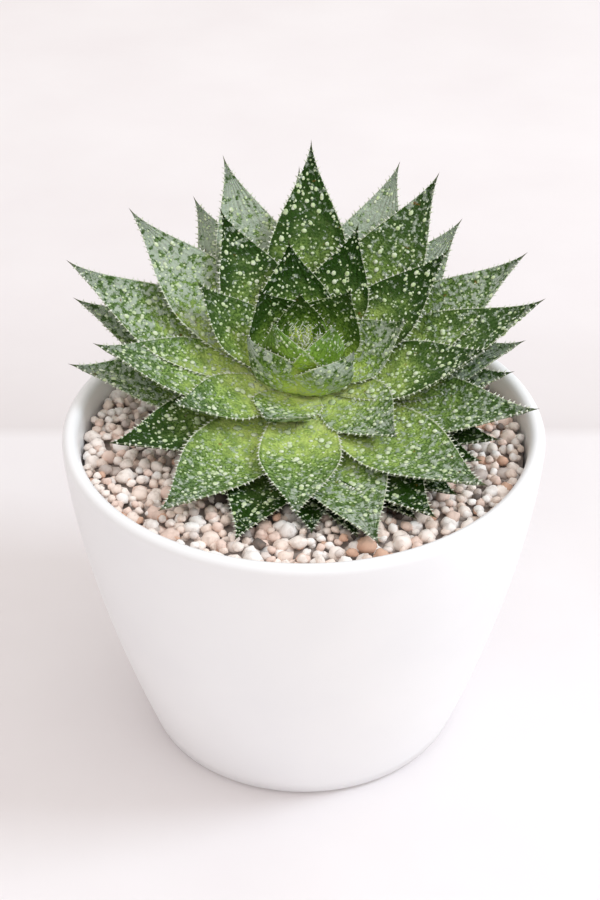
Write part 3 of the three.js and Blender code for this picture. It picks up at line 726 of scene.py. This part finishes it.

# Washed stone: each pebble one colour by its kind, stained in blotches, matt and a little rough
# from rolling. Those under the leaves are darkened by painted shade, nearly to black.
pebble_stone, tree, surface = new_material("washed_river_pebbles")
place = add_node(tree, "TexCoord").node.outputs["Object"]
kind = add_node(tree, "Attribute", {"attribute_name": "pebble_kind"}).node.outputs["Fac"]
pebble_shade = add_node(tree, "Attribute", {"attribute_name": "pebble_damp"}).node.outputs["Fac"]
stone = add_node(tree, "ValToRGB", {"stops": [
    (0, "FFF4EC"), (0.26, "F8E6DA"), (0.46, "F2D9CC"), (0.6, "FFFAF6"), (0.8, "E0B8A0"),
    (0.86, "EEE4DE"), (0.93, "C8BCB5"), (0.985, "6A605A")]}, {"Fac": kind})
stone.node.color_ramp.interpolation = "CONSTANT"
blotches = add_node(tree, "TexNoise", {"Scale": 1 / STONE_STAIN, "Detail": 4}, {"Vector": place})
stain = add_node(tree, "MapRange", {1: 0.5, 2: 0.68, 3: 0.0, 4: 0.35}, {0: blotches})
colour = add_node(tree, "Mix", {"data_type": "RGBA", 7: "A88E7E"}, {0: stain, 6: stone})
colour = add_node(tree, "Mix", {"data_type": "RGBA", 7: "2A211B"}, {0: pebble_shade, 6: colour})

# Painted shade and dark dust in the gaps between the stones: the lower a point lies, the darker
height = add_node(tree, "SeparateXYZ", links={0: place}).node.outputs["Z"]
dust_and_shade = add_node(tree, "MapRange", {1: GRAVEL_TOP - 4 * MM, 2: GRAVEL_TOP - 2.2 * MM,
                                   3: 0.7, 4: 0.0}, {0: height})
colour = add_node(tree, "Mix", {"data_type": "RGBA", 7: "4A3C34"}, {0: dust_and_shade, 6: colour})
tree.links.new(colour, surface.inputs["Base Color"])
bump = add_node(tree, "Bump", {"Strength": 0.5, "Distance": 0.4 * MM}, {"Height": blotches})
tree.links.new(bump, surface.inputs["Normal"])
surface.inputs["Roughness"].default_value = 0.75

pebble_shapes = []
for knobs in range(PEBBLE_SHAPES):
    shape = bmesh.new()
    shape.verts.layers.float.new("pebble_kind")
    shape.verts.layers.float.new("pebble_damp")
    bmesh.ops.create_uvsphere(shape, u_segments=8, v_segments=6, radius=1)
    for vertex in shape.verts:
        knob = noise.noise(vertex.co * 1.2 + Vector((7 * knobs, 0, 0)))
        vertex.co *= 1 + PEBBLE_KNOBS * knob
    pebble_shapes.append(small_shape("pebble", shape))

# The outer leaves as they now stand, which the pebbles lie under
leaves = bmesh.new()
for piece in leaf_pieces[INNER_LEAVES:]:
    leaves.from_mesh(piece.data)
overhead = BVHTree.FromBMesh(leaves)
leaves.free()

gravel = bmesh.new()
kind = gravel.verts.layers.float.new("pebble_kind")
pebble_shade = gravel.verts.layers.float.new("pebble_damp")
reach = pot_radius(GRAVEL_TOP) - POT_WALL
bmesh.ops.create_circle(gravel, cap_ends=True, segments=64, radius=reach - 1 * MM,
                        matrix=Matrix.Translation((0, 0, GRAVEL_BED_FOOT)))
raised = bmesh.ops.extrude_face_region(gravel, geom=list(gravel.faces))["geom"]
bmesh.ops.translate(gravel, vec=(0, 0, GRAVEL_BED_TOP - GRAVEL_BED_FOOT),
                    verts=[part for part in raised if isinstance(part, bmesh.types.BMVert)])
# The bed shows only in the gaps between the stones and takes a grey stone colour, painted shade for
# those gaps
for vertex in gravel.verts:
    vertex[kind] = BED_KIND
chance = random.Random(PEBBLE_SEED)
for drop, tries in PEBBLE_LAYERS:
    laid = []
    for k in range(tries * PEBBLE_TRIES):
        radius = blend(PEBBLE_RADIUS, chance.random() ** PEBBLE_SMALL_POWER)
        far = (reach - radius) * math.sqrt(chance.random())
        centre = from_crown(far, chance.uniform(0, 2 * math.pi), 0)
        if any((centre.x - x) ** 2 + (centre.y - y) ** 2 < (PEBBLE_CLOSENESS * (radius + r)) ** 2
               for x, y, r in laid):
            continue
        laid.append((centre.x, centre.y, radius))
        if len(laid) >= tries:
            break
    for x, y, radius in laid:
        sizes = (radius, radius * chance.uniform(*PEBBLE_BREADTH),
                 radius * chance.uniform(*PEBBLE_DEPTH))
        height = GRAVEL_TOP - sizes[2] + drop - 0.5 * MM * chance.random()
        leaf = overhead.ray_cast(Vector((x, y, GRAVEL_BED_FOOT)), Vector((0, 0, 1)))[0]
        if leaf:
            height = min(height, leaf.z - sizes[2] - CLEAR_OF_LEAF)
        turn = Matrix.Rotation(chance.uniform(0, 2 * math.pi), 4, "Z")
        turn @= Matrix.Rotation(chance.uniform(-PEBBLE_TILT, PEBBLE_TILT), 4, "X")
        copy = chance.choice(pebble_shapes).copy()
        copy.transform(Matrix.Translation((x, y, height)) @ turn @ Matrix.Diagonal((*sizes, 1)))
        tint = chance.random()
        # Painted shade on a pebble, by how much of the sky the leaves cover over it
        painted_shade = 1 - openness(Vector((x, y, height)), Vector((0, 0, 1)), PEBBLE_SHADE_REACH)
        pebble_shade_share = min(0.9, max(0, 2.1 * painted_shade - 1))
        for name, value in (("pebble_kind", tint), ("pebble_damp", pebble_shade_share)):
            for item in copy.attributes[name].data:
                item.value = value
        gravel.from_mesh(copy)
        bpy.data.meshes.remove(copy)
finished(gravel, "gravel_bed", [pebble_stone], "gravel", "gravel")

# ---------------------------------------------------------------------------------------------
# Floor, light and camera. A white painted board in a bright room: one broad window to the right,
# white walls all round.
# ---------------------------------------------------------------------------------------------
FLOOR_LINE = 143 * MM
PAINT_WEAR = 71.4 * MM
ROOM_BRIGHTEST = (0.14, -0.12, 0.7)
WINDOW_PLACE = (0.86, -0.08, 0.98)

# Paint rolled on board: matt and a shade off white, faintly worn in patches. Behind the pot a thin
# grey line where two boards meet, with painted shade fading from it on either side, most behind it,
# as in a corner where a wall stands on a floor.
paint, tree, surface = new_material("white_painted_board")
place = add_node(tree, "TexCoord").node.outputs["Object"]
wear_and_corner_shade = add_node(tree, "TexNoise", {"Scale": 1 / PAINT_WEAR, "Detail": 5}, {"Vector": place})
wear_and_corner_shade = add_node(tree, "ValToRGB", {"stops": [(0.3, "EEE9EA"), (0.7, "F2EEEF")]}, {"Fac": wear_and_corner_shade})
back = add_node(tree, "SeparateXYZ", links={0: place}).node.outputs["Y"]
# Painted shade along the line behind the pot, darkest at the line itself
corner_shade = add_node(tree, "ValToRGB", {"stops": [(0.0, "FFFFFF"), (0.485, "FAFAFA"), (0.5, "EDEBEA"),
                                              (0.52, "F0EEED"), (0.7, "FAF9F9"), (1.0, "FFFFFF")]})
tree.links.new(add_node(tree, "MapRange", {1: FLOOR_LINE - 0.25, 2: FLOOR_LINE + 0.25}, {0: back}),
               corner_shade.node.inputs["Fac"])
wear_and_corner_shade = add_node(tree, "Mix", {"data_type": "RGBA", "blend_type": "MULTIPLY", 0: 1.0},
                {6: wear_and_corner_shade, 7: corner_shade})
tree.links.new(wear_and_corner_shade, surface.inputs["Base Color"])
surface.inputs["Roughness"].default_value = 0.8
floor_mesh = bmesh.new()
bmesh.ops.create_grid(floor_mesh, x_segments=1, y_segments=1, size=3)
mesh = bpy.data.meshes.new("floor")
floor_mesh.to_mesh(mesh)
floor_mesh.free()
mesh.materials.append(paint)
floor = bpy.data.objects.new("floor", mesh)
bpy.context.scene.collection.objects.link(floor)

# The room is brightest overhead and a little brighter on the window's side.
world = bpy.data.worlds.new("bright_room")
bpy.context.scene.world = world
world.use_nodes = True
room = world.node_tree
room.nodes.clear()
toward = add_node(room, "TexCoord").node.outputs["Generated"]
toward = add_node(room, "VectorMath", {"operation": "DOT_PRODUCT", 1: ROOM_BRIGHTEST},
                  {0: toward})
brightness = add_node(room, "Math", {"operation": "ADD", 1: 0.48}, {0: toward})
walls = add_node(room, "Background", {"Color": "FFFAF7"}, {"Strength": brightness})
add_node(room, "OutputWorld", links={"Surface": walls})

lamp = bpy.data.lights.new("window", "AREA")
lamp.energy, lamp.size, lamp.color = 6.2, 0.34, linear("E6F4FF")[:3]
window = bpy.data.objects.new("window", lamp)
window.location = WINDOW_PLACE
towards_window = window.location - Vector((0, 0, 0.08))
window.rotation_euler = towards_window.to_track_quat("Z", "Y").to_euler()
bpy.context.scene.collection.objects.link(window)

camera = bpy.data.cameras.new("camera")
camera.sensor_width, camera.lens = 36, 72
eye = bpy.data.objects.new("camera", camera)
eye.location = (-0.001, -0.4088, 0.3644)
eye.rotation_euler = (math.radians(55.82), 0, 0)
bpy.context.scene.collection.objects.link(eye)
bpy.context.scene.camera = eye
bpy.context.scene.view_settings.view_transform = "Standard"
